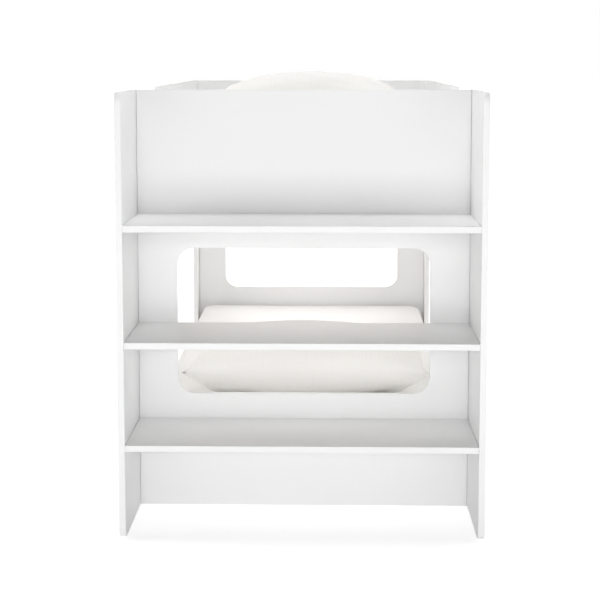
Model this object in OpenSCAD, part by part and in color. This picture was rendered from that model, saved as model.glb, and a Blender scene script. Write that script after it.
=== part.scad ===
// Child's changing table with an open bookcase at one end and a padded rest deck below.
// X runs across, Y runs along the length from the bookcase to the far end, Z is up.
// The origin is on the floor, at the middle of the footprint.

/* [Overall] */
// Width across the outer faces of the side boards
overall_width = 753; // [660:1:960]
// Height of the side boards and window panels
overall_height = 920; // [840:1:1160]
// Clear length between the two window panels
clear_length = 1415; // [1150:5:1900]
// Thickness of every lacquered board
board = 14; // [11:0.5:20]
// Radius of the boards' outer corners, seen from the side
corner_radius = 21; // [5:1:35]

/* [Bookcase] */
// Depth of the shelves, from their front edge to the window panel
bookcase_depth = 225; // [160:1:340]
// How far the side boards reach behind the front window panel
side_return = 57; // [30:1:120]
// Top of the lower shelf above the floor
lower_shelf_top = 197; // [150:1:225]
// Top of the middle shelf above the floor
middle_shelf_top = 411; // [330:1:500]
// Top of the upper shelf above the floor
upper_shelf_top = 651; // [625:1:720]
// Width of the middle shelf's bulge through the window
bulge_width = 230; // [100:1:400]
// How far the bulge reaches past the front face of the window panel
bulge_reach = 29; // [15:1:50]

/* [Windows] */
// Width of the window in each end panel
window_width = 554; // [300:1:560]
// Height of the window
window_height = 323; // [200:1:340]
// Sill of the window above the floor
window_sill = 252; // [240:1:280]
// Corner radius of the window
window_radius = 38; // [10:1:60]

/* [Sides] */
// Width of the legs at the far end
leg_width = 71; // [50:1:120]
// Length of the low opening in the guard beside the bookcase
access_length = 357; // [200:1:500]
// Height of the guard above the changing deck
guard_height = 220; // [160:1:280]
// Height of the side board above the changing deck at the opening
access_lip = 60; // [50:1:90]
// Depth of the upper side board below the changing deck
apron_drop = 80; // [75:1:110]
// Radius where the opening's lip rises to the guard
access_radius = 40; // [10:1:60]
// Gap between the lower rail and the floor
rail_ground_gap = 20; // [0:1:25]

/* [Decks] */
// Top of the rest deck's slats above the floor
rest_deck_top = 100; // [90:1:130]
// Thickness of the changing deck's boards
deck_thickness = 12; // [9:0.5:18]
// Number of boards in the changing deck
deck_boards = 3; // [2:1:4]
// Width of the battens that carry both decks
batten_width = 25; // [18:1:40]
// Height of the battens
batten_height = 30; // [24:1:36]
// Number of slats in the rest deck
slat_count = 11; // [6:1:15]
// Width of a slat
slat_width = 70; // [40:1:75]
// Thickness of a slat
slat_thickness = 15; // [12:1:20]
// Width of a cross rail below the changing deck
cross_rail_width = 28; // [20:1:40]
// Height of a cross rail
cross_rail_height = 60; // [40:1:70]

/* [Soft goods] */
// Thickness of the lower mattress
mattress_thickness = 100; // [60:1:120]
// Thickness of the changing pad
pad_thickness = 100; // [60:1:120]
// Plan radius of the mattress and pad corners
pad_radius = 45; // [20:1:90]
// Gap between a pad and each side board
pad_side_gap = 12.5; // [5:0.5:20]
// Gap between a pad and each window panel
pad_end_gap = 7.5; // [4:0.5:20]
// Width of a pillow across the table
pillow_width = 576; // [400:1:600]
// Depth of a pillow along the table
pillow_depth = 385; // [250:1:450]
// Thickness of the upper pillow at its middle
upper_pillow_thickness = 151; // [90:1:180]
// Thickness of the lower pillow at its middle
lower_pillow_thickness = 138; // [90:1:180]
// Distance from the front window panel to the lower pillow
lower_pillow_gap = 118; // [40:1:400]
// Distance from the far window panel to the upper pillow
upper_pillow_gap = 98; // [40:1:400]

/* [Fittings] */
// Diameter of a cam disc
cam_diameter = 15; // [12:0.5:16]
// Distance from a board's edge to the cam's centre
cam_inset = 24; // [20:1:34]
// Wood left under a cam
cam_floor = 2.5; // [1.5:0.5:4]
// Diameter of a cam bolt's shank
bolt_diameter = 6; // [4:0.5:7]
// Diameter of a cam bolt's thread
bolt_thread = 5; // [4:0.5:6]
// Wood left past a bolt's or dowel's blind end
blind_floor = 4; // [3:0.5:6]
// Diameter of a dowel
dowel_diameter = 6; // [4:0.5:8]
// Length of a dowel in the board that it locates
dowel_reach = 20; // [12:1:30]
// Diameter of a wood screw's shank
screw_diameter = 4; // [3:0.5:5]
// Diameter of a wood screw's head
screw_head = 8; // [6:0.5:9]
// Depth of thread in the board behind a side batten
side_bite = 10; // [6:0.5:10]
// Depth of thread in the batten under a slat or deck board
down_bite = 20; // [12:0.5:22]

/* [Clearances] */
// Radial clearance of a fitting in its hole
hole_clearance = 0.1; // [0.05:0.05:0.5]
// Gap at the ends of battens, slats and deck boards
fit_gap = 1; // [0.5:0.5:3]
// Gap between a soft piece and what it rests on
soft_gap = 0.3; // [0.1:0.1:1]

/* [Hidden] */
$fn = 96;
eps = 0.5;
left = -1;
right = 1;

inner_width = overall_width - 2 * board;
side_x = inner_width / 2;
overall_length = bookcase_depth + clear_length + 2 * board;
front_y = -overall_length / 2;
far_y = overall_length / 2;
panel_face_y = front_y + bookcase_depth;
room_front_y = panel_face_y + board;
room_far_y = far_y - board;
rail_front_y = room_front_y + side_return;
rail_far_y = far_y - leg_width;
guard_y = rail_front_y + access_length;
window_top = window_sill + window_height;

changing_deck_top = overall_height - guard_height;
apron_bottom = changing_deck_top - apron_drop;
apron_top = changing_deck_top + access_lip;
upper_batten_top = changing_deck_top - deck_thickness;
lower_batten_top = rest_deck_top - slat_thickness;
batten_x = side_x - batten_width;
deck_board_length = (clear_length - (deck_boards + 1) * fit_gap) / deck_boards;
slat_pitch = (clear_length - slat_width - 2 * fit_gap) / (slat_count - 1);
shelf_tops = [lower_shelf_top, middle_shelf_top, upper_shelf_top];
bulge_radius = (pow(bulge_width / 2, 2) + pow(bulge_reach, 2)) / (2 * bulge_reach);

cam_depth = board - cam_floor;
cam_recess = 1.5;
bolt_engage = 4;
bolt_pocket = bolt_diameter + 0.6;
blind_depth = board - blind_floor;
end_chamfer = 0.8;
cap_flange = 1;
cap_overhang = 1.2;
drill_slack = 0.5;
bore_overlap = 0.1;
screw_point = 2;
layer_height = 1;
recess_width = 1.2;

white = [0.95, 0.95, 0.94];
birch = [0.87, 0.76, 0.58];
beech = [0.80, 0.62, 0.42];
zinc = [0.72, 0.73, 0.75];
linen = [0.93, 0.91, 0.87];

function deck_board_y(i) = room_front_y + fit_gap + (deck_board_length + fit_gap) * i;
function deck_joint_y(i) = deck_board_y(i) - fit_gap / 2;
function slat_y(i) = room_front_y + fit_gap + slat_width / 2 + slat_pitch * i;

// ---- Fittings -------------------------------------------------------------
// A fitting is [point, along, outward]: the point lies on the joint, "along" runs
// into the board that holds the cam or the screw's head, and "outward" leaves the
// face that the cam is set in.

function fitting_frame(f) = let (side = cross(f[2], f[1])) [
    [f[1].x, side.x, f[2].x, f[0].x],
    [f[1].y, side.y, f[2].y, f[0].y],
    [f[1].z, side.z, f[2].z, f[0].z],
    [0, 0, 0, 1]
];

// Heights that keep clear of the windows, the shelves and the decks
low_cam_height = 60;
low_dowel_height = 120;
window_cam_rise = 35;
window_dowel_rise = 100;
top_cam_drop = 45;
top_dowel_drop = 110;
panel_cam_heights = [low_cam_height, window_top + window_cam_rise, overall_height - top_cam_drop];
panel_dowel_heights = [low_dowel_height, window_top + window_dowel_rise, overall_height - top_dowel_drop];
shelf_edge_inset = 45;
panel_margin_x = (side_x + window_width / 2) / 2;
rail_cam_below = 16;
rail_cam_above = 24;
lower_rail_cam_rise = 20;
lower_rail_dowel_rise = 5;
lower_rail_cam_z = rail_ground_gap + lower_rail_cam_rise;
lower_rail_dowel_z = lower_batten_top + lower_rail_dowel_rise;
edge_x = side_x + board / 2;

shelf_cams = [
    for (top = shelf_tops, s = [left, right],
         y = [front_y + shelf_edge_inset, panel_face_y - shelf_edge_inset])
        [[s * side_x, y, top - board / 2], [-s, 0, 0], [0, 0, -1]]
];
shelf_dowels = concat(
    [for (top = shelf_tops, s = [left, right])
        [[s * side_x, (front_y + panel_face_y) / 2, top - board / 2], [-s, 0, 0], [0, 0, 1]]],
    [for (top = shelf_tops, s = [left, right])
        [[s * panel_margin_x, panel_face_y, top - board / 2], [0, -1, 0], [0, 0, 1]]]
);
panel_cams = [
    for (end = [[panel_face_y, 1], [room_far_y, -1]], s = [left, right], z = panel_cam_heights)
        [[s * side_x, end[0] + board / 2, z], [-s, 0, 0], [0, end[1], 0]]
];
panel_dowels = [
    for (y = [panel_face_y, room_far_y], s = [left, right], z = panel_dowel_heights)
        [[s * side_x, y + board / 2, z], [-s, 0, 0], [0, 0, 1]]
];
rail_cams = [
    for (s = [left, right], spot = [
            [rail_front_y, 1, apron_bottom + rail_cam_below],
            [rail_front_y, 1, apron_top - rail_cam_above],
            [rail_far_y, -1, apron_bottom + rail_cam_below],
            [rail_far_y, -1, overall_height - rail_cam_above],
            [rail_front_y, 1, lower_rail_cam_z],
            [rail_far_y, -1, lower_rail_cam_z]])
        [[s * edge_x, spot[0], spot[2]], [0, spot[1], 0], [-s, 0, 0]]
];
rail_dowels = [
    for (s = [left, right], spot = [
            [rail_front_y, 1, changing_deck_top],
            [rail_far_y, -1, changing_deck_top],
            [rail_far_y, -1, overall_height - guard_height / 2],
            [rail_front_y, 1, lower_rail_dowel_z],
            [rail_far_y, -1, lower_rail_dowel_z]])
        [[s * edge_x, spot[0], spot[2]], [0, spot[1], 0], [0, 0, 1]]
];
cross_rail_dowels = [
    for (i = [1 : deck_boards - 1], s = [left, right])
        [[s * batten_x, deck_joint_y(i), upper_batten_top - batten_height / 2], [-s, 0, 0], [0, 0, 1]]
];

cams = concat(shelf_cams, panel_cams, rail_cams);
dowels = concat(shelf_dowels, panel_dowels, rail_dowels, cross_rail_dowels);

// Screws through the battens into the boards behind them
end_batten_x = [-inner_width / 4, 0, inner_width / 4];
board_screw_share = [0.3, 0.5, 0.7];
batten_screws = concat(
    [for (s = [left, right], i = [0 : deck_boards - 1], share = board_screw_share)
        [[s * side_x, deck_board_y(i) + deck_board_length * share,
          upper_batten_top - batten_height / 2], [-s, 0, 0], [0, 0, 1]]],
    [for (x = end_batten_x, end = [[room_front_y, 1], [room_far_y, -1]])
        [[x, end[0], upper_batten_top - batten_height / 2], [0, end[1], 0], [0, 0, 1]]],
    [for (s = [left, right], i = [0 : 3 : slat_count - 2])
        [[s * side_x, (slat_y(i) + slat_y(i + 1)) / 2, lower_batten_top - batten_height / 2],
         [-s, 0, 0], [0, 0, 1]]]
);

// Screws down through the slats and deck boards into the battens
deck_screw_x = side_x - batten_width / 2;
deck_screw_inset = 60;
slat_screws = [
    for (i = [0 : slat_count - 1], s = [left, right])
        [[s * deck_screw_x, slat_y(i), lower_batten_top], [0, 0, 1], [1, 0, 0]]
];
board_screws = [
    for (i = [0 : deck_boards - 1], s = [left, right],
         y = [deck_screw_inset, deck_board_length - deck_screw_inset])
        [[s * deck_screw_x, deck_board_y(i) + y, upper_batten_top], [0, 0, 1], [1, 0, 0]]
];

// Keeps the fittings whose point lies in or on the box from low to high
function inside(p, low, high) = min([for (a = [0 : 2])
    min(p[a] - low[a], high[a] - p[a])]) > -eps;
function touching(fittings, low, high) = [for (f = fittings) if (inside(f[0], low, high)) f];

module place(f) {
    multmatrix(fitting_frame(f)) children();
}

module along_x(from, to, d) {
    translate([from, 0, 0]) rotate([0, 90, 0]) cylinder(h = to - from, d = d);
}

module cam_hole() {
    translate([cam_inset, 0, board / 2 - cam_depth])
        cylinder(h = cam_depth + eps, d = cam_diameter + 2 * hole_clearance);
    along_x(-blind_depth - drill_slack, 0, bolt_thread + 2 * hole_clearance);
    along_x(-bore_overlap, cam_inset, bolt_diameter + 2 * hole_clearance);
}

module dowel_hole() {
    along_x(-blind_depth, dowel_reach + drill_slack, dowel_diameter + 2 * hole_clearance);
}

module screw_profile(through, bite, grow) {
    neck = (screw_head - screw_diameter) / 2;
    rotate_extrude() polygon([
        [0, -bite - grow],
        [screw_diameter / 2 + grow, -bite + screw_point],
        [screw_diameter / 2 + grow, through - neck],
        [screw_head / 2 + grow, through],
        [screw_head / 2 + grow, through + (grow > 0 ? eps : 0)],
        [0, through + (grow > 0 ? eps : 0)]
    ]);
}

module screw_hole(through, bite) {
    rotate([0, 90, 0]) screw_profile(through, bite, hole_clearance);
}

module screw(through, bite) {
    rotate([0, 90, 0]) difference() {
        screw_profile(through, bite, 0);
        for (a = [0, 90]) rotate(a)
            translate([-screw_head / 4, -recess_width / 2, through - recess_width])
                cube([screw_head / 2, recess_width, recess_width + eps]);
    }
}

// Cuts every hole that a board filling the box from low to high needs
module drilled(low, high) {
    difference() {
        children();
        for (f = touching(cams, low, high)) place(f) cam_hole();
        for (f = touching(dowels, low, high)) place(f) dowel_hole();
        for (f = touching(batten_screws, low, high)) place(f) screw_hole(batten_width, side_bite);
        for (f = touching(slat_screws, low, high)) place(f) screw_hole(slat_thickness, down_bite);
        for (f = touching(board_screws, low, high)) place(f) screw_hole(deck_thickness, down_bite);
    }
}

// ---- Board outlines -------------------------------------------------------

module slab(low, high) {
    translate(low) cube(high - low);
}

// What an arc leaves of the square corner at p, where inward points towards the arc's centre.
// Cut away, it rounds a board's corner. Added, it fills an inner corner.
module corner_waste(p, inward, r) {
    translate(p) difference() {
        translate([for (a = inward) a > 0 ? -eps : -r]) square(r + eps);
        translate(inward * r) circle(r);
    }
}

module rounded_rect(low, high, r) {
    difference() {
        translate(low) square(high - low);
        for (i = [-1, 1], j = [-1, 1])
            corner_waste([i < 0 ? low.x : high.x, j < 0 ? low.y : high.y], [-i, -j], r);
    }
}

// Stands a YZ outline up as a board whose inner face is on the given side
module side_board(side) {
    translate([side > 0 ? side_x : -side_x - board, 0, 0])
        rotate([90, 0, 90]) linear_extrude(board) children();
}

function side_low(side, y, z) = [side > 0 ? side_x : -side_x - board, y, z];
function side_high(side, y, z) = [side > 0 ? side_x + board : -side_x, y, z];

// ---- Boards ---------------------------------------------------------------

module bookcase_side(side) {
    color(white) drilled(side_low(side, front_y, 0), side_high(side, rail_front_y, overall_height))
        side_board(side) rounded_rect([front_y, 0], [rail_front_y, overall_height], corner_radius);
}

module window_panel(y) {
    color(white) drilled([-side_x, y, 0], [side_x, y + board, overall_height])
        translate([0, y + board, 0]) rotate([90, 0, 0]) linear_extrude(board) difference() {
            translate([-side_x, 0]) square([inner_width, overall_height]);
            rounded_rect([-window_width / 2, window_sill], [window_width / 2, window_top], window_radius);
        }
}

module shelf(top) {
    color(white) drilled([-side_x, front_y, top - board], [side_x, panel_face_y, top])
        slab([-side_x, front_y, top - board], [side_x, panel_face_y, top]);
}

// The middle shelf bulges through the window in one shallow arc
module middle_shelf(top) {
    color(white) drilled([-side_x, front_y, top - board], [side_x, panel_face_y, top])
        translate([0, 0, top - board]) linear_extrude(board) {
            translate([-side_x, front_y]) square([inner_width, bookcase_depth]);
            intersection() {
                translate([0, panel_face_y + bulge_reach - bulge_radius]) circle(bulge_radius);
                translate([-bulge_width, panel_face_y - board]) square([2 * bulge_width, board + bulge_reach]);
            }
        }
}

module far_leg(side) {
    color(white) drilled(side_low(side, rail_far_y, 0), side_high(side, far_y, overall_height))
        side_board(side) difference() {
            translate([rail_far_y, 0]) square([leg_width, overall_height]);
            corner_waste([far_y, overall_height], [-1, -1], corner_radius);
            corner_waste([far_y, 0], [-1, 1], corner_radius);
            corner_waste([rail_far_y, 0], [1, 1], corner_radius);
        }
}

// Apron and guard in one board, with a low opening beside the bookcase
module upper_side(side) {
    low = side_low(side, rail_front_y, apron_bottom);
    high = side_high(side, rail_far_y, overall_height);
    color(white) drilled(low, high) side_board(side) {
        difference() {
            translate([rail_front_y, apron_bottom])
                square([rail_far_y - rail_front_y, overall_height - apron_bottom]);
            translate([rail_front_y - eps, apron_top])
                square([access_length + eps, overall_height - apron_top + eps]);
            corner_waste([guard_y, overall_height], [1, -1], corner_radius);
        }
        corner_waste([guard_y, apron_top], [-1, 1], access_radius);
    }
}

module lower_rail(side) {
    low = side_low(side, rail_front_y, rail_ground_gap);
    high = side_high(side, rail_far_y, rest_deck_top);
    color(white) drilled(low, high) slab(low, high);
}

// ---- Deck supports and decks ----------------------------------------------

module side_batten(side, top) {
    low = [side > 0 ? batten_x : -side_x, room_front_y + fit_gap, top - batten_height];
    high = [side > 0 ? side_x : -batten_x, room_far_y - fit_gap, top];
    color(birch) drilled(low, high) slab(low, high);
}

module end_batten(y) {
    low = [-batten_x + fit_gap, y, upper_batten_top - batten_height];
    high = [batten_x - fit_gap, y + batten_width, upper_batten_top];
    color(birch) drilled(low, high) slab(low, high);
}

module cross_rail(i) {
    y = deck_joint_y(i);
    low = [-batten_x, y - cross_rail_width / 2, upper_batten_top - cross_rail_height];
    high = [batten_x, y + cross_rail_width / 2, upper_batten_top];
    color(birch) drilled(low, high) slab(low, high);
}

module deck_board(i) {
    low = [-side_x + fit_gap, deck_board_y(i), upper_batten_top];
    high = [side_x - fit_gap, deck_board_y(i) + deck_board_length, changing_deck_top];
    color(white) drilled(low, high) slab(low, high);
}

module slat(i) {
    low = [-side_x + fit_gap, slat_y(i) - slat_width / 2, lower_batten_top];
    high = [side_x - fit_gap, slat_y(i) + slat_width / 2, rest_deck_top];
    color(birch) drilled(low, high) slab(low, high);
}

// ---- Hardware -------------------------------------------------------------

module cam_disc() {
    translate([cam_inset, 0, board / 2 - cam_depth]) difference() {
        cylinder(h = cam_depth - cam_recess, d = cam_diameter);
        translate([0, 0, cam_depth - board / 2]) along_x(-cam_diameter, 0, bolt_pocket);
        for (a = [45, 135]) rotate(a)
            translate([-cam_diameter / 4, -recess_width / 2, cam_depth - cam_recess - recess_width])
                cube([cam_diameter / 2, recess_width, recess_width + eps]);
    }
}

module cam_discs() {
    color(zinc) for (f = cams) place(f) cam_disc();
}

module cam_bolts() {
    color(zinc) for (f = cams) place(f) {
        along_x(-blind_depth, 0, bolt_thread);
        along_x(0, cam_inset - cam_diameter / 2 + bolt_engage, bolt_diameter);
    }
}

module cam_caps() {
    color(white) for (f = cams) place(f) translate([cam_inset, 0, board / 2]) {
        cylinder(h = cap_flange, d1 = cam_diameter + 2 * cap_overhang, d2 = cam_diameter);
        translate([0, 0, -cam_recess]) cylinder(h = cam_recess, d = cam_diameter - 1);
    }
}

module dowel_pins() {
    color(beech) for (f = dowels) place(f) rotate([0, 90, 0]) rotate_extrude() polygon([
        [0, -blind_depth + drill_slack],
        [dowel_diameter / 2 - end_chamfer, -blind_depth + drill_slack],
        [dowel_diameter / 2, -blind_depth + drill_slack + end_chamfer],
        [dowel_diameter / 2, dowel_reach - end_chamfer],
        [dowel_diameter / 2 - end_chamfer, dowel_reach],
        [0, dowel_reach]
    ]);
}

module batten_screw_set() {
    color(zinc) for (f = batten_screws) place(f) screw(batten_width, side_bite);
}

module deck_screw_set() {
    color(zinc) {
        for (f = slat_screws) place(f) screw(slat_thickness, down_bite);
        for (f = board_screws) place(f) screw(deck_thickness, down_bite);
    }
}

// ---- Soft goods -----------------------------------------------------------

module pad(rests_on, thickness) {
    color(linen) translate([0, 0, rests_on + soft_gap]) linear_extrude(thickness - soft_gap)
        rounded_rect([-side_x + pad_side_gap, room_front_y + pad_end_gap],
                     [side_x - pad_side_gap, room_far_y - pad_end_gap], pad_radius);
}

// A plump pillow. Each layer is its height, as a share of the thickness, and its share of the full outline.
module pillow(y, rests_on, thickness) {
    half = [pillow_width, pillow_depth] / 2;
    layers = [[0, 0.72], [0.47, 1], [0.58, 1], [0.8, 0.8], [1, 0.5]];
    color(linen) translate([0, y, rests_on + soft_gap]) hull()
        for (layer = layers)
            translate([0, 0, layer[0] * (thickness - soft_gap - layer_height)]) linear_extrude(layer_height)
                rounded_rect(-half * layer[1], half * layer[1], pad_radius * layer[1], $fn = 32);
}

// ---- Assembly -------------------------------------------------------------

bookcase_side(left);  // bookcase_side_left
bookcase_side(right);  // bookcase_side_right
window_panel(panel_face_y);  // front_window_panel
shelf(lower_shelf_top);  // shelf_lower
middle_shelf(middle_shelf_top);  // shelf_middle
shelf(upper_shelf_top);  // shelf_upper
far_leg(left);  // far_leg_left
far_leg(right);  // far_leg_right
window_panel(room_far_y);  // far_window_panel
upper_side(left);  // upper_side_left
upper_side(right);  // upper_side_right
lower_rail(left);  // lower_rail_left
lower_rail(right);  // lower_rail_right
side_batten(left, upper_batten_top);  // upper_batten_left
side_batten(right, upper_batten_top);  // upper_batten_right
end_batten(room_front_y);  // upper_batten_front
end_batten(room_far_y - batten_width);  // upper_batten_far
side_batten(left, lower_batten_top);  // lower_batten_left
side_batten(right, lower_batten_top);  // lower_batten_right
for (i = [1 : deck_boards - 1])
    cross_rail(i);
for (i = [1 : deck_boards])
    deck_board(i - 1);
for (i = [1 : slat_count])
    slat(i - 1);
cam_discs();
cam_bolts();
cam_caps();
dowel_pins();  // dowels
batten_screw_set();  // batten_screws
deck_screw_set();  // deck_screws
pad(changing_deck_top, pad_thickness);  // changing_pad
pillow(room_far_y - upper_pillow_gap - pillow_depth / 2, changing_deck_top + pad_thickness,  // upper_pillow
           upper_pillow_thickness);
pad(rest_deck_top, mattress_thickness);  // lower_mattress
pillow(room_front_y + lower_pillow_gap + pillow_depth / 2, rest_deck_top + mattress_thickness,  // lower_pillow
           lower_pillow_thickness);
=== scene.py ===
import bpy
import bmesh
import math
from mathutils import Matrix, Vector, noise


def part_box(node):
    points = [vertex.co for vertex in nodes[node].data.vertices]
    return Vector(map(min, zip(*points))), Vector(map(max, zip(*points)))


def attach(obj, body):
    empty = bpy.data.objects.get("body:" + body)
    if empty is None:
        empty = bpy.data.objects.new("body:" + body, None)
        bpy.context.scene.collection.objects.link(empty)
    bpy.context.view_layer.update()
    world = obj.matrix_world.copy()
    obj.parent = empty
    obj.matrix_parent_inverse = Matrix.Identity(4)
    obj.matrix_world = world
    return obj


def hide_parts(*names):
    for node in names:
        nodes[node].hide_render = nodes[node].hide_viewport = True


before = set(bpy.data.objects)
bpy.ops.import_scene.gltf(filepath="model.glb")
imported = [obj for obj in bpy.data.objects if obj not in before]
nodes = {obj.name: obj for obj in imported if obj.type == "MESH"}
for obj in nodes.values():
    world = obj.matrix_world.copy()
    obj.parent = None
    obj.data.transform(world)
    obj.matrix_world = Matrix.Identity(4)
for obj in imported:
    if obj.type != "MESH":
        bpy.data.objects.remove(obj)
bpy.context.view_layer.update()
print("frame loaded,", len(nodes), "nodes")


# small helpers

def linkObject(name, data):
    piece = bpy.data.objects.new(name, data)
    bpy.context.scene.collection.objects.link(piece)
    return piece


def bakeObject(source, name):
    # swaps an object for a plain mesh of what its modifiers make
    bpy.context.view_layer.update()
    graph = bpy.context.evaluated_depsgraph_get()
    mesh = bpy.data.meshes.new_from_object(source.evaluated_get(graph))
    mesh.name = name
    baked = linkObject(name, mesh)
    bpy.data.objects.remove(source)
    return baked


def builtObject(name, work):
    # ends a bmesh and makes it an object
    mesh = bpy.data.meshes.new(name)
    work.to_mesh(mesh)
    work.free()
    return linkObject(name, mesh)


def paint(piece, material):
    piece.data.materials.clear()
    piece.data.materials.append(material)


def smoothStep(value, low, high):
    t = min(1.0, max(0.0, (value - low) / (high - low)))
    return t * t * (3 - 2 * t)


def hump(value, rise, fall):
    # goes from 0 up to 1 over the rise, and back to 0 over the fall
    return smoothStep(value, *rise) * (1 - smoothStep(value, *fall))


def extent(points):
    # the low and the high corner of the box round some points
    return [Vector([pick(point[a] for point in points) for a in range(3)]) for pick in (min, max)]


# node helpers

def makeTree(name, kind, inputs, outputs):
    tree = bpy.data.node_groups.new(name, kind)
    for label, socketType, value in inputs:
        socket = tree.interface.new_socket(label, in_out="INPUT", socket_type="NodeSocket" + socketType)
        if value is not None:
            socket.default_value = value
    for label, socketType in outputs:
        tree.interface.new_socket(label, in_out="OUTPUT", socket_type="NodeSocket" + socketType)
    return tree, tree.nodes.new("NodeGroupInput"), tree.nodes.new("NodeGroupOutput")


def addNode(tree, kind, settings=None, values=None):
    node = tree.nodes.new(kind)
    for key, value in (settings or {}).items():
        setattr(node, key, value)
    for key, value in (values or {}).items():
        node.inputs[key].default_value = value
    return node


def wire(tree, *joins):
    # each join is a node, its output, the node it feeds, and that node's input
    for source, output, target, socket in joins:
        tree.links.new(source.outputs[output], target.inputs[socket])


def feed(tree, value, socket):
    # gives a socket a constant or joins another node's output to it
    if isinstance(value, bpy.types.NodeSocket):
        tree.links.new(value, socket)
    elif value is not None:
        socket.default_value = value


def mathNode(tree, operation, first, second=None, clamp=False):
    node = addNode(tree, "ShaderNodeMath", {"operation": operation, "use_clamp": clamp})
    for socket, value in zip(node.inputs, (first, second)):
        feed(tree, value, socket)
    return node.outputs[0]


def plus(tree, first, second, clamp=False):
    return mathNode(tree, "ADD", first, second, clamp)


def minus(tree, first, second):
    return mathNode(tree, "SUBTRACT", first, second)


def times(tree, first, second):
    return mathNode(tree, "MULTIPLY", first, second)


def mixColour(tree, factor, first, second):
    node = addNode(tree, "ShaderNodeMix", {"data_type": "RGBA"})
    for socket, value in ((node.inputs["Factor"], factor), (node.inputs[6], first), (node.inputs[7], second)):
        feed(tree, value, socket)
    return node.outputs[2]


def remap(tree, value, fromRange, toRange=(0.0, 1.0)):
    node = addNode(tree, "ShaderNodeMapRange", None, {
        "From Min": fromRange[0], "From Max": fromRange[1], "To Min": toRange[0], "To Max": toRange[1]})
    tree.links.new(value, node.inputs["Value"])
    return node.outputs["Result"]


def noiseNode(tree, vector, scale, detail, roughness=0.5):
    # the scale holds a number for each axis
    stretch = addNode(tree, "ShaderNodeMapping", None, {"Scale": scale})
    node = addNode(tree, "ShaderNodeTexNoise", None, {"Scale": 1.0, "Detail": detail, "Roughness": roughness})
    tree.links.new(vector, stretch.inputs["Vector"])
    wire(tree, (stretch, "Vector", node, "Vector"))
    return node.outputs["Fac"]


def splitVector(tree, vector):
    node = addNode(tree, "ShaderNodeSeparateXYZ")
    tree.links.new(vector, node.inputs[0])
    return node.outputs


# shader groups, shared by the materials

groupOutputs = [("Colour", "Color"), ("Roughness", "Float"), ("Height", "Float")]
# in the looks below a noise is its scale along each axis, its detail and its roughness
lacquerLook = {"cloud": ((3.1, 3.1, 3.1), 3.0), "peel": ((420, 420, 420), 2.0), "wave": ((60, 60, 60), 1.0),
               "scuff": ((63, 63, 182), 6.0, 0.7), "scuffRange": (0.60, 0.78), "cloudTone": 0.022,
               "edgeShadeTone": 0.035, "allTone": 0.010, "stainAndEdgeShade": (0.60, 0.585, 0.55, 1), "cloudRough": 0.08,
               "scuffRough": 0.06, "edgePolish": 0.08, "peelHeight": 0.35}


def lacquerGroup():
    # sprayed lacquer: orange peel, faint cloudiness, handling marks and softly worn glossier edges; the
    # rounded edge faces are also painted a little darker as painted shade for the grooves between boards
    tree, start, end = makeTree("sprayedLacquer", "ShaderNodeTree", [
        ("Vector", "Vector", None), ("Colour", "Color", (0.9, 0.9, 0.9, 1)),
        ("Edge", "Float", 0.0), ("Gloss", "Float", 0.35)], groupOutputs)
    look, vector, edge = lacquerLook, start.outputs["Vector"], start.outputs["Edge"]
    cloud = noiseNode(tree, vector, *look["cloud"])
    scuff = noiseNode(tree, vector, *look["scuff"])
    tone = times(tree, minus(tree, cloud, 0.5), look["cloudTone"])
    # painted shade: rounded edge faces are mixed a little towards the darker colour
    tone = plus(tree, tone, times(tree, edge, look["edgeShadeTone"]))
    darker = plus(tree, tone, look["allTone"], clamp=True)
    feed(tree, mixColour(tree, darker, start.outputs["Colour"], look["stainAndEdgeShade"]), end.inputs["Colour"])
    rough = plus(tree, start.outputs["Gloss"], times(tree, cloud, look["cloudRough"]))
    rough = plus(tree, rough, times(tree, remap(tree, scuff, look["scuffRange"]), look["scuffRough"]))
    feed(tree, minus(tree, rough, times(tree, edge, look["edgePolish"])), end.inputs["Roughness"])
    peel = times(tree, noiseNode(tree, vector, *look["peel"]), look["peelHeight"])
    feed(tree, plus(tree, peel, noiseNode(tree, vector, *look["wave"])), end.inputs["Height"])
    return tree


weaveLook = {"overRange": (-0.25, 0.25), "warpSlub": ((300, 9, 1), 3.0, 0.65), "warpShare": 0.68,
             "weftSlub": ((8, 330, 1), 3.0, 0.65), "weftShare": 0.32, "cloud": ((9, 9, 9), 3.0),
             "slubRange": (0.36, 0.64), "gapShadeTone": 0.16, "cloudTone": 0.05, "roughFrom": (0.3, 0.7),
             "rough": (0.80, 0.92), "threadHeight": 0.35, "slubHeight": 0.9}


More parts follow.
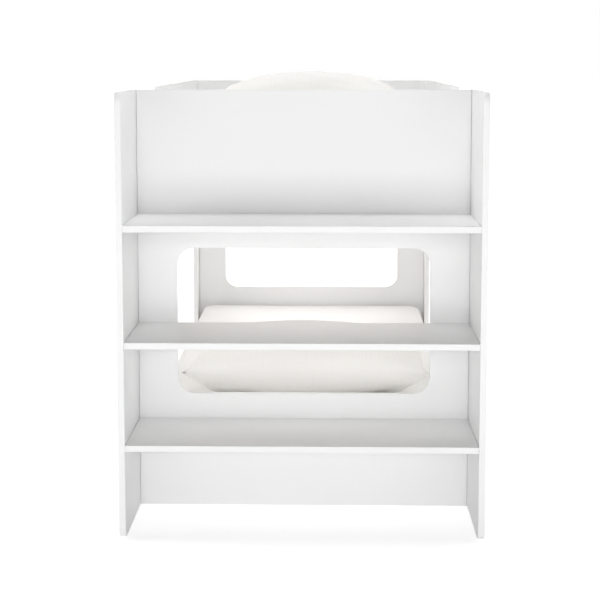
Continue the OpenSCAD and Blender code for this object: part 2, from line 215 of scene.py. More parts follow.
def weaveGroup():
    # plain weave with slubs: warp runs along V, weft along U, both in metres of cloth; the gaps between
    # threads are painted darker as painted shade
    tree, start, end = makeTree("slubWeave", "ShaderNodeTree", [
        ("Vector", "Vector", None), ("Colour", "Color", (0.85, 0.83, 0.80, 1)),
        ("Shade", "Color", (0.66, 0.62, 0.56, 1)), ("Threads", "Float", 1500.0),
        ("Slub", "Float", 0.35)], groupOutputs)
    look, vector, threads = weaveLook, start.outputs["Vector"], start.outputs["Threads"]
    place = splitVector(tree, vector)
    across, along = [mathNode(tree, "SINE", times(tree, place[axis], threads)) for axis in "XY"]
    warp, weft = mathNode(tree, "ABSOLUTE", across), mathNode(tree, "ABSOLUTE", along)
    over = remap(tree, times(tree, across, along), look["overRange"])
    lift = plus(tree, times(tree, warp, over), times(tree, weft, minus(tree, 1.0, over)))
    slubs = plus(tree, times(tree, noiseNode(tree, vector, *look["warpSlub"]), look["warpShare"]),
                 times(tree, noiseNode(tree, vector, *look["weftSlub"]), look["weftShare"]))
    slubShade = times(tree, remap(tree, slubs, look["slubRange"]), start.outputs["Slub"])
    # painted shade: where a thread dips under its neighbour the colour is mixed towards Shade
    gapShade = times(tree, minus(tree, 1.0, lift), look["gapShadeTone"])
    cloud = times(tree, noiseNode(tree, vector, *look["cloud"]), look["cloudTone"])
    shade = plus(tree, plus(tree, slubShade, gapShade), cloud, clamp=True)
    feed(tree, mixColour(tree, shade, start.outputs["Colour"], start.outputs["Shade"]), end.inputs["Colour"])
    feed(tree, remap(tree, slubs, look["roughFrom"], look["rough"]), end.inputs["Roughness"])
    height = plus(tree, times(tree, lift, look["threadHeight"]), times(tree, slubs, look["slubHeight"]))
    feed(tree, height, end.inputs["Height"])
    return tree


grainLook = {"drift": ((1.2, 9, 9), 2.0), "driftShare": 5.0, "slant": 0.6,
             "fibre": ((14, 900, 900), 4.0, 0.7), "pore": ((60, 2200, 2200), 2.0), "poreRange": (0.62, 0.72),
             "bandTone": 0.35, "fibreTone": 0.45, "poreTone": 0.25, "roughFrom": (0.3, 0.7),
             "rough": (0.48, 0.62)}


def grainGroup():
    # straight-sawn wood: long fibres, growth bands and pores along the vector's X
    tree, start, end = makeTree("sawnGrain", "ShaderNodeTree", [
        ("Vector", "Vector", None), ("Light", "Color", (0.74, 0.58, 0.38, 1)),
        ("Dark", "Color", (0.52, 0.36, 0.20, 1)), ("Bands", "Float", 30.0)], groupOutputs)
    look, vector = grainLook, start.outputs["Vector"]
    place = splitVector(tree, vector)
    drift = noiseNode(tree, vector, *look["drift"])
    ring = times(tree, plus(tree, place["Y"], times(tree, place["Z"], look["slant"])), start.outputs["Bands"])
    ring = plus(tree, ring, times(tree, drift, look["driftShare"]))
    band = mathNode(tree, "ABSOLUTE", mathNode(tree, "SINE", times(tree, ring, math.pi)))
    fibre = noiseNode(tree, vector, *look["fibre"])
    pores = remap(tree, noiseNode(tree, vector, *look["pore"]), look["poreRange"])
    shade = plus(tree, times(tree, band, look["bandTone"]), times(tree, fibre, look["fibreTone"]))
    shade = plus(tree, shade, times(tree, pores, look["poreTone"]), clamp=True)
    feed(tree, mixColour(tree, shade, start.outputs["Light"], start.outputs["Dark"]), end.inputs["Colour"])
    feed(tree, remap(tree, fibre, look["roughFrom"], look["rough"]), end.inputs["Roughness"])
    feed(tree, minus(tree, fibre, pores), end.inputs["Height"])
    return tree


lacquerNodes = lacquerGroup()
weaveNodes = weaveGroup()
grainNodes = grainGroup()


def groupMaterial(name, group, values, vectorFrom, bump, shader):
    # a material round one group; vectorFrom is "Object", or the name of a UV map
    material = bpy.data.materials.new(name)
    material.use_nodes = True
    tree = material.node_tree
    principled = tree.nodes["Principled BSDF"]
    for label, value in shader.items():
        principled.inputs[label].default_value = value
    groupNode = addNode(tree, "ShaderNodeGroup", {"node_tree": group}, values)
    if vectorFrom == "Object":
        source = addNode(tree, "ShaderNodeTexCoord").outputs["Object"]
    else:
        source = addNode(tree, "ShaderNodeUVMap", {"uv_map": vectorFrom}).outputs["UV"]
    bumpNode = addNode(tree, "ShaderNodeBump", None, {"Strength": bump[0], "Distance": bump[1]})
    tree.links.new(source, groupNode.inputs["Vector"])
    wire(tree, (groupNode, "Colour", principled, "Base Color"),
         (groupNode, "Roughness", principled, "Roughness"), (groupNode, "Height", bumpNode, "Height"),
         (bumpNode, "Normal", principled, "Normal"))
    return material, groupNode


def lacquerMaterial(name, colour, gloss):
    material, groupNode = groupMaterial(name, lacquerNodes, {"Colour": colour, "Gloss": gloss}, "Object",
                                        (0.10, 0.0006), {"IOR": 1.47, "Coat Weight": 0.06,
                                                         "Coat Roughness": 0.25})
    edgeNode = addNode(material.node_tree, "ShaderNodeAttribute", {"attribute_name": "edge"})
    wire(material.node_tree, (edgeNode, "Fac", groupNode, "Edge"))
    return material


def clothMaterial(name, colour, shade, threads, slub, vectorFrom, bump):
    values = {"Colour": colour, "Shade": shade, "Threads": threads, "Slub": slub}
    shader = {"Sheen Weight": 0.08, "Sheen Roughness": 0.5, "Specular IOR Level": 0.2}
    return groupMaterial(name, weaveNodes, values, vectorFrom, bump, shader)[0]


def woodMaterial(name, light, dark, bands, depth, angle=0.0):
    # the angle turns the pattern so that its fibres follow the board
    values = {"Light": light, "Dark": dark, "Bands": bands}
    material, groupNode = groupMaterial(name, grainNodes, values, "Object", (0.25, depth), {"IOR": 1.45})
    if angle:
        tree = material.node_tree
        source = groupNode.inputs["Vector"].links[0].from_socket
        mapping = addNode(tree, "ShaderNodeMapping", None, {"Rotation": (0, 0, angle)})
        tree.links.new(source, mapping.inputs["Vector"])
        wire(tree, (mapping, "Vector", groupNode, "Vector"))
    return material


whiteLacquer = lacquerMaterial("whiteLacquer", (0.93, 0.93, 0.93, 1), 0.34)
pillowLinen = clothMaterial("pillowLinen", (0.985, 0.978, 0.962, 1), (0.91, 0.88, 0.83, 1), 2600.0, 0.40,
                            "clothFlat", (0.30, 0.0004))
coverLinen = clothMaterial("coverLinen", (0.985, 0.980, 0.968, 1), (0.92, 0.895, 0.855, 1), 3600.0, 0.14,
                           "clothFlat", (0.25, 0.0003))
pipingLinen = clothMaterial("pipingLinen", (0.88, 0.865, 0.84, 1), (0.70, 0.66, 0.60, 1), 3600.0, 0.2,
                            "Object", (0.4, 0.0004))
birchTones = (0.72, 0.58, 0.40, 1), (0.56, 0.41, 0.25, 1)
birchAcross = woodMaterial("birchAcross", *birchTones, 26.0, 0.0005)
birchAlong = woodMaterial("birchAlong", *birchTones, 34.0, 0.0005, math.pi / 2)
beechPin = woodMaterial("beechPin", (0.62, 0.42, 0.25, 1), (0.44, 0.27, 0.14, 1), 90.0, 0.0004)
whitePlastic = lacquerMaterial("whitePlastic", (0.87, 0.87, 0.865, 1), 0.42)
zincPlate = groupMaterial("zincPlate", lacquerNodes, {"Colour": (0.62, 0.63, 0.66, 1), "Gloss": 0.26},
                          "Object", (0.12, 0.0004), {"Metallic": 1.0})[0]
print("materials made")


# geometry nodes for what repeats or follows a path

def runTree(source, tree, values, name):
    # runs one tree on an object and returns its result as a plain mesh object
    modifier = source.modifiers.new("run", "NODES")
    modifier.node_group = tree
    for item in tree.interface.items_tree:
        if item.item_type == "SOCKET" and item.in_out == "INPUT" and item.name in values:
            modifier[item.identifier] = values[item.name]
    return bakeObject(source, name)


def dressed(tree, start, geometry, result):
    # the end of every tree: instances made real, smooth shading and the material
    realize = addNode(tree, "GeometryNodeRealizeInstances")
    smooth = addNode(tree, "GeometryNodeSetShadeSmooth")
    dress = addNode(tree, "GeometryNodeSetMaterial")
    tree.links.new(geometry, realize.inputs["Geometry"])
    wire(tree, (realize, "Geometry", smooth, "Geometry"), (smooth, "Geometry", dress, "Geometry"),
         (start, "Material", dress, "Material"))
    tree.links.new(dress.outputs["Geometry"], result)


def cordTree():
    # a round cord of thread or cloth along a path
    tree, start, end = makeTree("roundCord", "GeometryNodeTree", [
        ("Path", "Geometry", None), ("Radius", "Float", 0.001),
        ("Sides", "Int", 8), ("Step", "Float", 0.005),
        ("Material", "Material", None)], [("Cord", "Geometry")])
    even = addNode(tree, "GeometryNodeResampleCurve", {"mode": "LENGTH"})
    profile = addNode(tree, "GeometryNodeCurvePrimitiveCircle")
    sweep = addNode(tree, "GeometryNodeCurveToMesh", values={"Fill Caps": True})
    wire(tree, (start, "Path", even, "Curve"), (start, "Step", even, "Length"),
         (start, "Radius", profile, "Radius"), (start, "Sides", profile, "Resolution"),
         (even, "Curve", sweep, "Curve"), (profile, "Curve", sweep, "Profile Curve"))
    dressed(tree, start, sweep.outputs["Mesh"], end.inputs["Cord"])
    return tree


stitchSpread = (0.88, 1.1)  # how much stitches differ in size


def stitchTree():
    # short stitches, one after another along a path, each a little uneven
    tree, start, end = makeTree("stitchRow", "GeometryNodeTree", [
        ("Path", "Geometry", None), ("Spacing", "Float", 0.004),
        ("Stitch", "Float", 0.003), ("Thickness", "Float", 0.0008),
        ("Seed", "Int", 3), ("Material", "Material", None)],
        [("Stitches", "Geometry")])
    row = addNode(tree, "GeometryNodeCurveToPoints", {"mode": "LENGTH"})
    thread = addNode(tree, "GeometryNodeMeshIcoSphere", values={"Radius": 0.5, "Subdivisions": 1})
    scale = addNode(tree, "ShaderNodeCombineXYZ")
    uneven = addNode(tree, "FunctionNodeRandomValue", {"data_type": "FLOAT"},
                     {2: stitchSpread[0], 3: stitchSpread[1]})
    sized = addNode(tree, "ShaderNodeVectorMath", {"operation": "SCALE"})
    place = addNode(tree, "GeometryNodeInstanceOnPoints")
    wire(tree, (start, "Path", row, "Curve"), (start, "Spacing", row, "Length"),
         (start, "Thickness", scale, "X"), (start, "Thickness", scale, "Y"), (start, "Stitch", scale, "Z"),
         (start, "Seed", uneven, "Seed"), (scale, "Vector", sized, 0), (uneven, 1, sized, "Scale"),
         (row, "Points", place, "Points"), (thread, "Mesh", place, "Instance"),
         (row, "Rotation", place, "Rotation"), (sized, "Vector", place, "Scale"))
    dressed(tree, start, place.outputs["Instances"], end.inputs["Stitches"])
    return tree


def capTree():
    # one cap on each point, turned to face the way the point's "outward" says
    tree, start, end = makeTree("capOnPoint", "GeometryNodeTree", [
        ("Points", "Geometry", None), ("Cap", "Object", None),
        ("Material", "Material", None)], [("Caps", "Geometry")])
    shape = addNode(tree, "GeometryNodeObjectInfo")
    facing = addNode(tree, "GeometryNodeInputNamedAttribute", {"data_type": "FLOAT_VECTOR"},
                     {"Name": "outward"})
    turn = addNode(tree, "FunctionNodeAlignRotationToVector", {"axis": "Z"})
    place = addNode(tree, "GeometryNodeInstanceOnPoints")
    wire(tree, (start, "Cap", shape, "Object"), (facing, "Attribute", turn, "Vector"),
         (start, "Points", place, "Points"), (shape, "Geometry", place, "Instance"),
         (turn, "Rotation", place, "Rotation"))
    dressed(tree, start, place.outputs["Instances"], end.inputs["Caps"])
    return tree


cordNodes = cordTree()
stitchNodes = stitchTree()
capNodes = capTree()


def pathObject(name, paths):
    # open or closed polylines as one curve object; a path is (points, closed)
    curve = bpy.data.curves.new(name, "CURVE")
    curve.dimensions = "3D"
    for points, closed in paths:
        spline = curve.splines.new("POLY")
        spline.points.add(len(points) - 1)
        for point, place in zip(spline.points, points):
            point.co = (place[0], place[1], place[2], 1)
        spline.use_cyclic_u = closed
    return linkObject(name, curve)


def cordAlong(paths, radius, name):
    return runTree(pathObject("path", paths), cordNodes, {"Radius": radius, "Material": pipingLinen}, name)


def stitchesAlong(paths, sizes, material, name):
    # the sizes are the spacing, the stitch's length and its thickness
    values = dict(zip(("Spacing", "Stitch", "Thickness"), sizes), Material=material)
    return runTree(pathObject("path", paths), stitchNodes, values, name)


# lacquered boards

boardFinish = {"edgeRadius": 0.0010, "edgeSteps": 2, "arcSteps": 14, "cornerRadius": 0.021,
               "windowRadius": 0.038, "lipRadius": 0.040, "jointReveal": 0.0004, "weld": 1e-5,
               "flat": 0.99999}


def arc(centre, radius, fromAngle, toAngle):
    steps = boardFinish["arcSteps"]
    angles = [math.radians(fromAngle + (toAngle - fromAngle) * i / steps) for i in range(steps + 1)]
    return [(centre[0] + radius * math.cos(angle), centre[1] + radius * math.sin(angle)) for angle in angles]


def roundedOutline(low, high, radii):
    # anticlockwise from the low corner; radii for low-low, high-low, high-high, low-high
    corners = [(low[0], low[1], 180), (high[0], low[1], 270), (high[0], high[1], 0), (low[0], high[1], 90)]
    points = []
    for (x, y, angle), radius in zip(corners, radii):
        if radius <= 0:
            points.append((x, y))
            continue
        inX = radius if x == low[0] else -radius
        inY = radius if y == low[1] else -radius
        points += arc((x + inX, y + inY), radius, angle, angle + 90)
    return points


def boardMesh(name, loops, thickness, place):
    # extrudes a flat outline, with holes, and rounds its edges a little
    curve = bpy.data.curves.new(name, "CURVE")
    curve.dimensions = "2D"
    curve.fill_mode = "BOTH"
    radius = boardFinish["edgeRadius"]
    curve.extrude = thickness / 2 - radius
    curve.bevel_depth = radius
    curve.bevel_resolution = boardFinish["edgeSteps"]
    curve.offset = -radius
    for loop in loops:
        spline = curve.splines.new("POLY")
        spline.points.add(len(loop) - 1)
        for point, (x, y) in zip(spline.points, loop):
            point.co = (x, y, 0, 1)
        spline.use_cyclic_u = True
    board = bakeObject(linkObject(name, curve), name)
    work = bmesh.new()
    work.from_mesh(board.data)
    bmesh.ops.remove_doubles(work, verts=work.verts, dist=boardFinish["weld"])
    bmesh.ops.transform(work, matrix=place, verts=work.verts)
    bmesh.ops.recalc_face_normals(work, faces=work.faces)
    work.to_mesh(board.data)
    work.free()
    # marks the rounded edge faces, which the lacquer paints a little darker as painted shade and makes a
    # little glossier
    rim = board.data.attributes.new("edge", "FLOAT", "FACE")
    for face in board.data.polygons:
        isFlat = max(abs(value) for value in face.normal) > boardFinish["flat"]
        face.use_smooth = not isFlat
        rim.data[face.index].value = 0.0 if isFlat else 1.0
    return board


def boardPlace(axis, middle):
    # the outline lies in the two other axes, in their order, and the thickness along this one
    first, second = [a for a in range(3) if a != axis]
    place = Matrix.Diagonal((0, 0, 0, 1))
    place[first][0] = place[second][1] = place[axis][2] = 1
    place[axis][3] = middle
    return place


def finishBoard(node, loops, axis):
    low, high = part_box(node)
    place = boardPlace(axis, (low[axis] + high[axis]) / 2)
    board = boardMesh("board." + node, loops, high[axis] - low[axis], place)
    paint(board, whiteLacquer)
    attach(board, "frame")
    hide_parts(node)


def flatBox(node, axis, lowReveal=(0, 0), highReveal=(0, 0)):
    # a board's outline, drawn in a hair at the ends that butt on another board
    low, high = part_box(node)
    a, b = [i for i in range(3) if i != axis]
    hair = boardFinish["jointReveal"]
    return ((low[a] + hair * lowReveal[0], low[b] + hair * lowReveal[1]),
            (high[a] - hair * highReveal[0], high[b] - hair * highReveal[1]))


def plainBoard(node, axis, lowReveal=(0, 0), highReveal=(0, 0), radii=(0, 0, 0, 0), holes=()):
    low, high = flatBox(node, axis, lowReveal, highReveal)
    finishBoard(node, [roundedOutline(low, high, radii), *holes], axis)


def makeBoards():
    corner = boardFinish["cornerRadius"]
    for side in ("left", "right"):
        plainBoard("bookcase_side_" + side, 0, radii=[corner] * 4)
        plainBoard("far_leg_" + side, 0, radii=(corner, corner, corner, 0))
        plainBoard("lower_rail_" + side, 0, (1, 0), (1, 0))
        makeUpperSide("upper_side_" + side)
    for panel in ("front_window_panel", "far_window_panel"):
        plainBoard(panel, 1, (1, 0), (1, 0), holes=[windowOutline()])
    for shelf in ("shelf_lower", "shelf_upper"):
        plainBoard(shelf, 2, (1, 0), (1, 1))
    makeMiddleShelf()


windowSize = {"width": 0.554, "sill": 0.252, "top": 0.575}


def windowOutline():
    half = windowSize["width"] / 2
    return roundedOutline((-half, windowSize["sill"]), (half, windowSize["top"]),
                          [boardFinish["windowRadius"]] * 4)


guardSize = {"accessLength": 0.357, "lipTop": 0.760}


def makeUpperSide(node):
    low, high = flatBox(node, 0, (1, 0), (1, 0))
    guard = low[0] + guardSize["accessLength"]
    lip = guardSize["lipTop"]
    corner, fillet = boardFinish["cornerRadius"], boardFinish["lipRadius"]
    outline = [(low[0], low[1]), (high[0], low[1]), (high[0], high[1])]
    outline += arc((guard + corner, high[1] - corner), corner, 90, 180)
    outline += arc((guard - fillet, lip + fillet), fillet, 0, -90)
    outline.append((low[0], lip))
    finishBoard(node, [outline], 0)


bulgeSize = {"width": 0.230, "steps": 28}


def makeMiddleShelf():
    low, high = flatBox("shelf_middle", 2, (1, 0), (1, 0))
    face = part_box("front_window_panel")[0].y
    reach = high[1] - face
    half = bulgeSize["width"] / 2
    radius = (half * half + reach * reach) / (2 * reach)
    sweep = math.asin(half / radius)
    angles = [sweep - 2 * sweep * i / bulgeSize["steps"] for i in range(bulgeSize["steps"] + 1)]
    bulge = [(radius * math.sin(angle), high[1] - radius + radius * math.cos(angle)) for angle in angles]
    outline = [(low[0], low[1]), (high[0], low[1]), (high[0], face)] + bulge + [(low[0], face)]
    finishBoard("shelf_middle", [outline], 2)


makeBoards()
print("boards made")


# sewn covers

def inflate(source, name, settings):
    # fills a sewn cover with the Cloth solver and returns the result as a plain mesh
    modifier = source.modifiers.new("fill", "CLOTH")
    cloth = modifier.settings
    cloth.quality = settings["quality"]
    cloth.mass = settings["mass"]
    cloth.air_damping = settings["airDamping"]
    cloth.tension_stiffness = settings["stretch"]
    cloth.compression_stiffness = settings["stretch"]
    cloth.shear_stiffness = settings["shear"]
    cloth.bending_stiffness = settings["bend"]
    cloth.use_pressure = True
    cloth.uniform_pressure_force = settings["pressure"]
    cloth.effector_weights.gravity = 0
    if "volume" in settings:
        cloth.use_pressure_volume = True
        cloth.target_volume = settings["volume"]
        cloth.pressure_factor = settings["pressureFactor"]
    if "pin" in source.vertex_groups:
        cloth.vertex_group_mass = "pin"
        cloth.pin_stiffness = settings["pinStiffness"]
    modifier.collision_settings.use_collision = False
    modifier.point_cache.frame_start = 1
    modifier.point_cache.frame_end = settings["frames"]
    scene = bpy.context.scene
    for frameNumber in range(1, settings["frames"] + 1):
        scene.frame_set(frameNumber)
    filled = bakeObject(source, name)
    scene.frame_set(1)
    return filled


def sheetCells(layer, countX, countY):
    # the corners of each cell of a sheet, which faces up as layer 1 and down as layer -1
    for i in range(countX):
        for j in range(countY):
            yield [(i, j), (i + 1, j), (i + 1, j + 1), (i, j + 1)][::layer]


def shellFromFaces(name, verts, faces, uvs):
    mesh = bpy.data.meshes.new(name)
    mesh.from_pydata(verts, [], faces)
    layer = mesh.uv_layers.new(name="clothFlat")
    for face, corners in zip(mesh.polygons, uvs):
        for loopIndex, corner in zip(face.loop_indices, corners):
            layer.data[loopIndex].uv = corner
    mesh.update()
    return linkObject(name, mesh)


def subdivided(source, name):
    modifier = source.modifiers.new("smooth", "SUBSURF")
    modifier.levels = 1
    modifier.render_levels = 1
    result = bakeObject(source, name)
    for face in result.data.polygons:
        face.use_smooth = True
    return result


# pillows

pillowCut = {"width": 0.602, "depth": 0.424, "cell": 0.0085, "restDepth": 0.016, "creaseDepth": 0.0008,
             "loft": 0.004, "creaseScale": 26, "restSoftness": 0.7, "foldRidge": 0.45, "foldRidgeAway": 1.7,
             "foldFade": ((0.0, 0.15), (0.55, 1.0)), "seamRadius": 0.0009, "frontPasses": 30,
             "frontReach": 0.075, "frontPull": 0.5, "tipCells": (2, 10), "tipReach": 0.16,
             "fill": {"quality": 6, "mass": 0.05, "airDamping": 5.0, "stretch": 80.0, "shear": 5.0,
                      "bend": 0.05, "pressure": 0.3, "pressureFactor": 6.0, "volume": 0.0132, "frames": 26}}
# where the settled filling sits: heights and reaches are shares of the pillow's size, bulges are metres
pillowShape = {"crownFrom": 0.42, "crownAcross": 1.6, "crownAlong": 0.4,
               "sideBulge": 0.004, "frontBulge": 0.012,
               "bulgeHeight": ((-0.10, 0.16), (0.20, 0.44)), "shoulderHeight": ((0.50, 0.72), (0.92, 1.05)),
               "sideReach": ((0.45, 0.9), (0.955, 1.0)), "frontReach": ((0.4, 0.9), (0.955, 1.0)),
               "shoulderReach": ((0.40, 0.80), (0.93, 1.0))}
# how each pillow lies: crown, seam lift and lean as shares, shoulder and how far its front tips stay inside
# in metres, and folds pressed into its top, from and to as shares of the cut, with a depth and a width
pillowLie = {
    "lower_pillow": {
        "crown": 0.10, "seamLift": 0.047, "lean": 0.6, "shoulder": 0.024, "tips": (0.0045, -0.002), "folds": [
            ((0.995, 0.03), (0.86, 0.30), 0.0060, 0.010), ((0.985, 0.02), (0.80, 0.13), 0.0022, 0.008),
            ((0.01, 0.02), (0.13, 0.20), 0.0020, 0.008), ((0.02, 0.97), (0.16, 0.80), 0.0030, 0.009),
            ((0.98, 0.97), (0.85, 0.82), 0.0030, 0.009)]},
    "upper_pillow": {
        "crown": 0.33, "seamLift": 0.03, "lean": 0.35, "shoulder": 0.0, "tips": (0.003, 0.003), "folds": [
            ((0.995, 0.04), (0.80, 0.34), 0.0065, 0.011), ((0.99, 0.02), (0.76, 0.17), 0.0045, 0.010),
            ((0.97, 0.30), (0.84, 0.47), 0.0050, 0.010), ((0.93, 0.36), (0.79, 0.52), 0.0030, 0.009),
            ((0.01, 0.02), (0.14, 0.22), 0.0022, 0.009), ((0.02, 0.97), (0.18, 0.78), 0.0030, 0.009)]}}


def pillowBag(name, seed):
    # two layers of cloth that share their rim; the front rim is a fold and the others are seams
    width, depth, cell = pillowCut["width"], pillowCut["depth"], pillowCut["cell"]
    countX, countY = round(width / cell), round(depth / cell)
    verts, index = [], {}
    for layer in (1, -1):
        for i in range(countX + 1):
            for j in range(countY + 1):
                onRim = i in (0, countX) or j in (0, countY)
                if layer < 0 and onRim:
                    index[layer, i, j] = index[1, i, j]
                    continue
                x, y = width * (i / countX - 0.5), depth * (j / countY - 0.5)
                crown = max(0.0, math.sin(math.pi * i / countX) * math.sin(math.pi * j / countY))
                scale = pillowCut["creaseScale"]
                crease = noise.noise(Vector((x * scale, y * scale, layer * 7 + seed))) * min(1.0, crown * 6)
                lift = pillowCut["loft"] * math.sqrt(crown) + pillowCut["creaseDepth"] * crease
                z = 0.0 if onRim else layer * lift
                index[layer, i, j] = len(verts)
                verts.append((x, y, z))
    faces, uvs = [], []
    for layer in (1, -1):
        for cells in sheetCells(layer, countX, countY):
            faces.append([index[layer, a, b] for a, b in cells])
            uvs.append([(width * a / countX, layer * depth * b / countY) for a, b in cells])
    return shellFromFaces(name, verts, faces, uvs), index, (countX, countY)


def seamCells(countX, countY):
    # along the seams from the front left corner round the back to the front right corner
    left = [(0, j) for j in range(countY + 1)]
    back = [(i, countY) for i in range(1, countX + 1)]
    right = [(countX, j) for j in range(countY - 1, -1, -1)]
    return left + back + right


def restOn(mesh, depth):
    # flattens the underside where the pillow's own weight presses it on the pad
    low = min(vertex.co.z for vertex in mesh.vertices)
    soft = depth * pillowCut["restSoftness"]

    def eased(height):
        return (height + math.hypot(height, soft / 2)) / 2

    for vertex in mesh.vertices:
        above = vertex.co.z - low - depth
        if above < soft:
            vertex.co.z = low + depth + soft + eased(above) - eased(soft)
    mesh.update()


def pressFolds(mesh, index, counts, folds):
    # works in the flat cut, so that a fold runs along the cloth wherever the filling has pushed it
    normals = {key: mesh.vertices[k].normal.copy() for key, k in index.items() if key[0] > 0}
    for (layer, i, j), k in index.items():
        if layer < 0:
            continue
        here = Vector((pillowCut["width"] * i / counts[0], pillowCut["depth"] * j / counts[1]))
        push = 0.0
        for start, stop, depth, width in folds:
            first = Vector((pillowCut["width"] * start[0], pillowCut["depth"] * start[1]))
            along = Vector((pillowCut["width"] * stop[0], pillowCut["depth"] * stop[1])) - first
            t = min(1.0, max(0.0, (here - first).dot(along) / along.length_squared))
            away = (here - first - along * t).length / width
            ridge = pillowCut["foldRidge"] * math.exp(-(away - pillowCut["foldRidgeAway"]) ** 2)
            push += hump(t, *pillowCut["foldFade"]) * depth * (ridge - math.exp(-away * away))
        mesh.vertices[k].co += normals[layer, i, j] * push
    mesh.update()


def fitTo(mesh, low, high):
    # scales the filled cover into the room that its solid holds
    least, most = extent([vertex.co for vertex in mesh.vertices])
    for vertex in mesh.vertices:
        for a in range(3):
            vertex.co[a] = low[a] + (vertex.co[a] - least[a]) / (most[a] - least[a]) * (high[a] - low[a])
    mesh.update()


def settle(mesh, low, high, lie):
    # crowns the top and lets the filling bulge out low down, more on one side than the other
    centre = (low + high) / 2
    half = (high - low) / 2
    tall = high.z - low.z
    shape = pillowShape
    for vertex in mesh.vertices:
        x, y = (vertex.co.x - centre.x) / half.x, (vertex.co.y - centre.y) / half.y
        z = (vertex.co.z - low.z) / tall
        vertex.co.z += lie["seamLift"] * tall * 4 * z * (1 - z)
        if z > shape["crownFrom"]:
            fall = shape["crownAcross"] * x * x + shape["crownAlong"] * y * y
            vertex.co.z -= (z - shape["crownFrom"]) * tall * lie["crown"] * fall
        bulge = hump(z, *shape["bulgeHeight"]) * (1 + lie["lean"] * x)
        vertex.co.x += math.copysign(shape["sideBulge"] * bulge * hump(abs(x), *shape["sideReach"]), x)
        vertex.co.y += math.copysign(shape["frontBulge"] * bulge * hump(abs(y), *shape["frontReach"]), y)
        vertex.co.x += lie["shoulder"] * hump(z, *shape["shoulderHeight"]) * hump(x, *shape["shoulderReach"])
    mesh.update()


def softenFront(mesh, index, counts):
    # rounds the folded front edge, which has no seam to hold it, and leaves the two tips alone
    reach = round(pillowCut["frontReach"] / pillowCut["cell"])
    cellsAcross = pillowCut["width"] / pillowCut["cell"]
    for _ in range(pillowCut["frontPasses"]):
        moved = {}
        for i in range(1, counts[0]):
            share = smoothStep(min(i, counts[0] - i) / counts[0] * cellsAcross, *pillowCut["tipCells"])
            for layer in (1, -1):
                for j in range(0 if layer > 0 else 1, reach):
                    nextRows = [(layer, i, j + 1), (layer, i, j - 1) if j else (-layer, i, 1)]
                    near = [(layer, i - 1, j), (layer, i + 1, j)] + nextRows
                    mean = sum((mesh.vertices[index[key]].co for key in near), Vector()) / 4
                    here = mesh.vertices[index[layer, i, j]].co
                    pull = pillowCut["frontPull"] * share * (1 - j / reach)
                    moved[index[layer, i, j]] = here.lerp(mean, pull)
        for k, place in moved.items():
            mesh.vertices[k].co = place
    mesh.update()


def pullTips(mesh, index, counts, low, high, tips):
    # draws the two front corners out to where they should lie, and the cloth round them a little
    for i, goal in ((0, low.x + tips[0]), (counts[0], high.x - tips[1])):
        tip = mesh.vertices[index[1, i, 0]].co.copy()
        for vertex in mesh.vertices:
            away = (vertex.co - tip).length / pillowCut["tipReach"]
            vertex.co.x += (goal - tip.x) * (1 - smoothStep(away, 0.0, 1.0))
    mesh.update()


zipCut = {"teeth": (0.0021, 0.0012, 0.0030), "slider": (0.0050, 0.0085, 0.0042),
          "tongue": (0.0011, 0.0110, 0.0040), "tongueHang": (0.35, 0.2), "bevel": 0.0009, "bevelShare": 0.4,
          "startShare": 0.03, "endShare": 0.94}


def roundedBlock(work, size, centre):
    # a small block with soft edges, added to the mesh that is being built
    made = bmesh.ops.create_cube(work, size=1.0)["verts"]
    bmesh.ops.scale(work, vec=size, verts=made)
    bmesh.ops.translate(work, vec=centre, verts=made)
    edges = {edge for vertex in made for edge in vertex.link_edges}
    offset = min(zipCut["bevel"], min(size) * zipCut["bevelShare"])
    bmesh.ops.bevel(work, geom=list(edges), offset=offset, segments=2, affect="EDGES", profile=0.5)


def makeZip(node, body, seam):
    # a zip along the left seam, with its slider closed at the front corner
    first, last = round(len(seam) * zipCut["startShare"]), round(len(seam) * zipCut["endShare"])
    teeth = stitchesAlong([(seam[first:last], False)], zipCut["teeth"], whitePlastic, "zipTeeth." + node)
    along = (seam[first + 1] - seam[first]).normalized()
    outward = along.cross(Vector((0, 0, 1))).normalized() * -1
    up = outward.cross(along)
    work = bmesh.new()
    roundedBlock(work, zipCut["slider"], (0, 0, 0))
    thick, long, wide = zipCut["tongue"]
    back, down = zipCut["tongueHang"]
    roundedBlock(work, zipCut["tongue"], (-zipCut["slider"][0] / 2 - thick / 2, -long * back, -wide * down))
    turn = Matrix((-outward, along, up)).transposed().to_4x4()
    bmesh.ops.transform(work, matrix=Matrix.Translation(seam[first]) @ turn, verts=work.verts)
    bmesh.ops.recalc_face_normals(work, faces=work.faces)
    slider = builtObject("zipSlider." + node, work)
    paint(slider, zincPlate)
    for piece, slot in ((teeth, "white_plastic"), (slider, "zinc")):
        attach(piece, body)


def makePillow(node, body, seed):
    lie = pillowLie[node]
    bag, index, counts = pillowBag("bag." + node, seed)
    filled = inflate(bag, "filled." + node, pillowCut["fill"])
    restOn(filled.data, pillowCut["restDepth"])
    print(node, "filled to", [round(value, 3) for value in filled.dimensions])
    low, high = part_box(node)
    fitTo(filled.data, low, high)
    settle(filled.data, low, high, lie)
    softenFront(filled.data, index, counts)
    pressFolds(filled.data, index, counts, lie["folds"])
    pillow = subdivided(filled, "pillow." + node)
    fitTo(pillow.data, low, high)
    pullTips(pillow.data, index, counts, low, high, lie["tips"])
    seam = [pillow.data.vertices[index[1, i, j]].co.copy() for i, j in seamCells(*counts)]
    paint(pillow, pillowLinen)
    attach(pillow, body)
    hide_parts(node)
    ridge = cordAlong([(seam, False)], pillowCut["seamRadius"], "seam." + node)
    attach(ridge, body)
    makeZip(node, body, seam[:counts[1] + 1])


# mattress and pad

